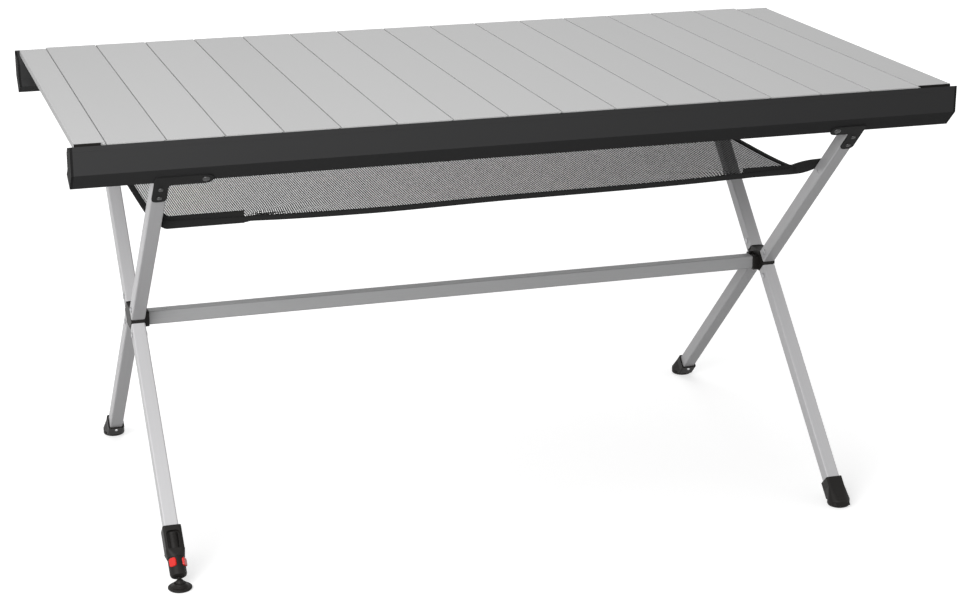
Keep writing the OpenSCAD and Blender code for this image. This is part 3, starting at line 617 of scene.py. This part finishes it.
# %% Helper: a mesh from a grid of points
def grid_quads(rows, columns, closed=False):
    """Corner numbers of the quads of a rows x columns grid; closed joins the
    last column to the first."""
    i, j = np.meshgrid(np.arange(rows - 1),
                       np.arange(columns if closed else columns - 1), indexing="ij")
    k = (j + 1) % columns
    quads = np.stack([i * columns + j, i * columns + k,
                      (i + 1) * columns + k, (i + 1) * columns + j], axis=-1)
    return quads.reshape(-1, 4)


def mesh_piece(name, points, quads, uv, caps=()):
    """Smooth object at the origin from points (n, 3), quads and end caps; uv is
    per point."""
    mesh = bpy.data.meshes.new(name)
    faces = [tuple(q) for q in quads.tolist()] + [tuple(c) for c in caps]
    mesh.from_pydata(points.tolist(), [], faces)
    layer = mesh.uv_layers.new(name="flat")
    corner = np.empty(len(mesh.loops), np.int32)
    mesh.loops.foreach_get("vertex_index", corner)
    layer.data.foreach_set("uv", uv[corner].astype(np.float32).ravel())
    mesh.polygons.foreach_set("use_smooth", np.ones(len(mesh.polygons), bool))
    mesh.update()
    piece = bpy.data.objects.new(name, mesh)
    bpy.context.scene.collection.objects.link(piece)
    return piece


# %% [markdown]
# ### Net cloth
#
# Mesh cloth is threads with holes between them. Modelling every thread would
# take millions of faces; a sheet whose transparency follows the weave does the
# same from any distance at which the table is looked at. This cloth is a warp
# knit: its holes stand in columns from front to back, each column half a hole
# out of step with the next. The weave is worked out in the cloth's own flat
# coordinates. At the left the holes lie closer together and open a little wider
# than at the right.

# %% Weave as a node group: how solid the net is at a point, and its height
HOLE_PITCH = (0.0050, 0.0041, 1.0)     # between columns, and along a column
PITCH_SHARE = (0.83, 1.0)              # of that pitch, at the left and the right
OPENING = (0.30, 0.20)                 # radius of a hole, as a share of the pitch
weave_group, weave_in, weave_out = new_group(
    "net_weave", [("Pitch", "NodeSocketVector", HOLE_PITCH),
                  ("Opening", "NodeSocketFloat", OPENING[0])],
    [("Solid", "NodeSocketFloat"), ("Height", "NodeSocketFloat")])
flat_uv = add(weave_group, "ShaderNodeUVMap", uv_map="flat")
in_holes = add(weave_group, "ShaderNodeVectorMath", operation="DIVIDE")
hole_axes = add(weave_group, "ShaderNodeSeparateXYZ")
join(weave_group, flat_uv.outputs[0], in_holes.inputs[0])
join(weave_group, weave_in.outputs["Pitch"], in_holes.inputs[1])
join(weave_group, in_holes.outputs[0], hole_axes.inputs[0])
column = add(weave_group, "ShaderNodeMath", operation="FLOOR")
half_step = add(weave_group, "ShaderNodeMath", operation="MULTIPLY_ADD")
half_step.inputs[1].default_value = 0.5
join(weave_group, hole_axes.outputs["X"], column.inputs[0])
join(weave_group, column.outputs[0], half_step.inputs[0])
join(weave_group, hole_axes.outputs["Y"], half_step.inputs[2])
from_middle = []
for source in (hole_axes.outputs["X"], half_step.outputs[0]):
    part = add(weave_group, "ShaderNodeMath", operation="FRACT")
    centred = add(weave_group, "ShaderNodeMath", operation="SUBTRACT")
    centred.inputs[1].default_value = 0.5
    join(weave_group, source, part.inputs[0])
    join(weave_group, part.outputs[0], centred.inputs[0])
    from_middle.append(centred)
hole_point = add(weave_group, "ShaderNodeCombineXYZ")
join(weave_group, from_middle[0].outputs[0], hole_point.inputs["X"])
join(weave_group, from_middle[1].outputs[0], hole_point.inputs["Y"])
away = add(weave_group, "ShaderNodeVectorMath", operation="LENGTH")
join(weave_group, hole_point.outputs[0], away.inputs[0])
is_thread = add(weave_group, "ShaderNodeMath", operation="GREATER_THAN")
join(weave_group, away.outputs["Value"], is_thread.inputs[0])
join(weave_group, weave_in.outputs["Opening"], is_thread.inputs[1])
join(weave_group, is_thread.outputs[0], weave_out.inputs["Solid"])
join(weave_group, away.outputs["Value"], weave_out.inputs["Height"])
print("group", weave_group.name)

# %% Net finish
net_mat = bpy.data.materials.new("net_mesh_cloth")
net_mat.use_nodes = True
net_tree = net_mat.node_tree
net_shader = net_tree.nodes["Principled BSDF"]
net_shader.inputs["Roughness"].default_value = 0.6
net_shader.inputs["Specular IOR Level"].default_value = 0.35
weave = add(net_tree, "ShaderNodeGroup", node_tree=weave_group)
net_flat = add(net_tree, "ShaderNodeUVMap", uv_map="flat")
net_axes = add(net_tree, "ShaderNodeSeparateXYZ")
join(net_tree, net_flat.outputs[0], net_axes.inputs[0])
join(net_tree, map_range(net_tree, net_axes.outputs["X"], NET_X, OPENING),
     weave.inputs["Opening"])
pitch_here = add(net_tree, "ShaderNodeVectorMath", operation="SCALE")
pitch_here.inputs[0].default_value = HOLE_PITCH
join(net_tree, map_range(net_tree, net_axes.outputs["X"], NET_X, PITCH_SHARE),
     pitch_here.inputs["Scale"])
join(net_tree, pitch_here.outputs[0], weave.inputs["Pitch"])
thread_tone = add(net_tree, "ShaderNodeMix", data_type="RGBA")
thread_tone.inputs[COLOUR_A].default_value = grey(0.006)
thread_tone.inputs[COLOUR_B].default_value = grey(0.024)
net_bump = add(net_tree, "ShaderNodeBump", Strength=0.5, Distance=0.0004)
join(net_tree, weave.outputs["Height"], thread_tone.inputs[0])
join(net_tree, thread_tone.outputs[COLOUR_OUT], net_shader.inputs["Base Color"])
join(net_tree, weave.outputs["Height"], net_bump.inputs["Height"])
join(net_tree, net_bump.outputs[0], net_shader.inputs["Normal"])
join(net_tree, weave.outputs["Solid"], net_shader.inputs["Alpha"])
print("net finish ready")

# %% Net sheet
NET_ROWS, NET_COLUMNS = 321, 141
net_xs = np.linspace(NET_X[0], NET_X[1], NET_ROWS)
grid_x, across_net = np.meshgrid(net_xs, np.linspace(-1.0, 1.0, NET_COLUMNS),
                                 indexing="ij")
grid_y = across_net * net_half_width(grid_x)
net_points = np.stack([grid_x, grid_y, net_height(grid_x, grid_y)], axis=-1)
net_points = net_points.reshape(-1, 3)
net_quads = grid_quads(NET_ROWS, NET_COLUMNS)[:, ::-1]
net = mesh_piece("net_cloth", net_points, net_quads,
                 np.stack([grid_x, grid_y], axis=-1).reshape(-1, 2))
net.data.materials.append(net_mat)
print("net", len(net_quads), "faces")

# %% [markdown]
# ### Hems, patches and straps
#
# The edges are bound in narrow tape, the corners in wider webbing that runs on
# to the legs. A tape is a flat ribbon: an oblong with round edges, carried
# along a path with its width pointing where the tape faces. One function makes
# them all, because only the path, the facing and the width differ.


# %% Ribbon: an oblong with round edges carried along a path
def ribbon(name, path, across, width, thick, mat, rounds=5):
    """Closed tape along path (n, 3), its width along across, its thickness square
    to both.

    Around the edge the outline is s * (w/2 - t/2) + (t/2)(cos a, sin a), with
    s = +1 on one edge and -1 on the other; each outline point p, q becomes
    path + p * across + q * normal, where the normal is across x tangent.
    """
    path = np.asarray(path, float)
    across = np.broadcast_to(np.asarray(across, float), path.shape).copy()
    width = np.broadcast_to(np.asarray(width, float), (len(path),))
    ahead = np.gradient(path, axis=0)
    ahead /= np.linalg.norm(ahead, axis=1)[:, None]
    across -= (across * ahead).sum(1)[:, None] * ahead
    across /= np.linalg.norm(across, axis=1)[:, None]
    normal = np.cross(across, ahead)
    a = np.concatenate([np.linspace(-np.pi / 2, np.pi / 2, rounds),
                        np.linspace(np.pi / 2, 3 * np.pi / 2, rounds)])
    s = np.concatenate([np.ones(rounds), -np.ones(rounds)])
    p = s[None, :] * (width[:, None] / 2 - thick / 2) + (thick / 2) * np.cos(a)[None, :]
    q = np.broadcast_to((thick / 2) * np.sin(a)[None, :], p.shape)
    points = (path[:, None, :] + p[..., None] * across[:, None, :]
              + q[..., None] * normal[:, None, :])
    count = len(a)
    steps = np.linalg.norm(np.diff(path, axis=0), axis=1)
    along = np.concatenate([[0.0], np.cumsum(steps)])
    uv = np.stack(np.broadcast_arrays(along[:, None], p), axis=-1)
    quads = grid_quads(len(path), count, closed=True)
    first = list(range(count))
    last = [(len(path) - 1) * count + k for k in range(count)]
    piece = mesh_piece(name, points.reshape(-1, 3), quads, uv.reshape(-1, 2),
                       caps=(first[::-1], last))
    piece.data.materials.append(mat)
    return piece


def closed_volume(piece):
    """Signed volume of a closed mesh: a sixth of the sum of a . (b x c)."""
    mesh = piece.data
    mesh.calc_loop_triangles()
    corner = np.empty(3 * len(mesh.loop_triangles), np.int32)
    mesh.loop_triangles.foreach_get("vertices", corner)
    place = np.empty(3 * len(mesh.vertices), np.float32)
    mesh.vertices.foreach_get("co", place)
    t = place.reshape(-1, 3)[corner].reshape(-1, 3, 3).astype(float)
    return float(np.einsum("ij,ij->i", t[:, 0], np.cross(t[:, 1], t[:, 2])).sum() / 6)


# %% Webbing finish: fine ribs along the tape
RIBS = (900.0, 5200.0, 0.0)   # fineness along the tape and across it
web_mat = bpy.data.materials.new("webbing_black")
web_mat.use_nodes = True
web_tree = web_mat.node_tree
web_shader = web_tree.nodes["Principled BSDF"]
web_shader.inputs["Roughness"].default_value = 0.78
web_shader.inputs["Specular IOR Level"].default_value = 0.25
web_uv = add(web_tree, "ShaderNodeUVMap", uv_map="flat")
rib_place = add(web_tree, "ShaderNodeVectorMath", operation="MULTIPLY")
rib_place.inputs[1].default_value = RIBS
rib_wave = add(web_tree, "ShaderNodeTexNoise", Scale=1.0, Detail=2.0)
web_tone = add(web_tree, "ShaderNodeMix", data_type="RGBA")
web_tone.inputs[COLOUR_A].default_value = grey(0.0045)
web_tone.inputs[COLOUR_B].default_value = grey(0.013)
web_bump = add(web_tree, "ShaderNodeBump", Strength=0.5, Distance=0.0002)
join(web_tree, web_uv.outputs[0], rib_place.inputs[0])
join(web_tree, rib_place.outputs[0], rib_wave.inputs["Vector"])
join(web_tree, rib_wave.outputs["Fac"], web_tone.inputs[0])
join(web_tree, web_tone.outputs[COLOUR_OUT], web_shader.inputs["Base Color"])
join(web_tree, rib_wave.outputs["Fac"], web_bump.inputs["Height"])
join(web_tree, web_bump.outputs[0], web_shader.inputs["Normal"])
print("webbing finish ready")

# %% Hem tapes along the four edges
HEM_T = 0.0020
FRONT_HEM_H = 0.010
SIDE_HEM_W = 0.012
HEM_FROM_LEG = 0.002
net_pieces = []
for label, side in (("front", -1), ("rear", 1)):
    xs = np.linspace(left_leg[1] + HEM_FROM_LEG, NET_X[1], 161)
    edge_y = np.full_like(xs, side * (NET_Y - HEM_T / 2))
    run = np.stack([xs, edge_y, net_height(xs, edge_y) - FRONT_HEM_H / 2], axis=-1)
    net_pieces.append(ribbon(f"net_hem_{label}", run, (0, 0, 1),
                             FRONT_HEM_H, HEM_T, web_mat))
for label, edge_x, inward in (("left", NET_X[0], 1), ("right", NET_X[1], -1)):
    x = edge_x + inward * SIDE_HEM_W / 2
    half = float(net_half_width(np.array(x - SIDE_HEM_W / 2)))
    ys = np.linspace(-half, half, 81)
    xs = np.full_like(ys, x)
    run = np.stack([xs, ys, net_height(xs, ys)], axis=-1)
    net_pieces.append(ribbon(f"net_hem_{label}", run, (1, 0, 0),
                             SIDE_HEM_W, HEM_T, web_mat))
print([round(1e6 * closed_volume(p), 2) for p in net_pieces], "cm3 of hem")


# %% Corner patch and strap in one length of webbing
LEFT, RIGHT = -1, 1
PATCH_H = {LEFT: 0.0215, RIGHT: 0.0180}
STRAP_W = {LEFT: 0.0262, RIGHT: 0.0350}
FREE_LENGTH = {LEFT: 0.014, RIGHT: 0.046}     # the last stretch before the leg
LEG_INNER_X = {LEFT: left_leg[1], RIGHT: right_leg[0]}
STRAP_T = 0.0012
STRAP_PAST_MIDDLE = 0.0104                    # on the leg, past its middle
STRAP_LIFT = 0.0009                           # off the leg's face
PATCH_DROP = 0.0005
STUD_RISE = 0.008                             # of the studs above the net
ROOT_2 = 2 ** 0.5
STUD_S = (NET_Z + STUD_RISE - hub_z) * ROOT_2


def strap_path(end_x, patch_x, side, front):
    """Centre line, facing and width of one corner's webbing.

    From the patch's end it runs level along the hem. Over its free length it
    turns from upright to the lean of the leg, eased at the left and evenly at
    the right, so its width goes from (0, 0, 1) to (0, f, 1) / sqrt 2, with
    f = -1 at the front. It ends flat on the leg, past the leg's middle.
    """
    x = patch_x + (end_x - patch_x) * np.linspace(0.0, 1.0, 121)
    turn = (x - LEG_INNER_X[side]) * side / FREE_LENGTH[side] + 1.0
    turn = ease(turn) if side == LEFT else np.clip(turn, 0.0, 1.0)
    level = net_height(np.array(patch_x), np.array(front * NET_Y)) - PATCH_DROP
    start = np.array([front * (NET_Y - STRAP_T), level])
    end = np.array([front * (STUD_S - STRAP_LIFT), STUD_S + STRAP_LIFT]) / ROOT_2
    end[1] += hub_z
    y, z = start[:, None] + (end - start)[:, None] * turn
    across = (np.array([0.0, 0.0, 1.0])
              + np.array([0.0, front, 1.0 - ROOT_2]) / ROOT_2 * turn[:, None])
    width = PATCH_H[side] + (STRAP_W[side] - PATCH_H[side]) * turn
    return np.stack([x, y, z], axis=-1), across, width


for label, leg, patch_x, side, front in (
        ("front_left", left_leg, PATCH_END[0], LEFT, -1),
        ("rear_left", left_leg, PATCH_END[0], LEFT, 1),
        ("front_right", right_leg, PATCH_END[1], RIGHT, -1),
        ("rear_right", right_leg, PATCH_END[1], RIGHT, 1)):
    strap_end = (leg[0] + leg[1]) / 2 + side * STRAP_PAST_MIDDLE
    path, across, width = strap_path(strap_end, patch_x, side, front)
    net_pieces.append(ribbon(f"net_strap_{label}", path, across, width,
                             STRAP_T, web_mat))
print("straps", [round(1e6 * closed_volume(p), 2) for p in net_pieces[4:]], "cm3")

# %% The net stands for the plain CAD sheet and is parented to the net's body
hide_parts("shelf_net")
for piece in [net] + net_pieces:
    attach(piece, "net")
    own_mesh(piece)
print("net and", len(net_pieces), "edge pieces")
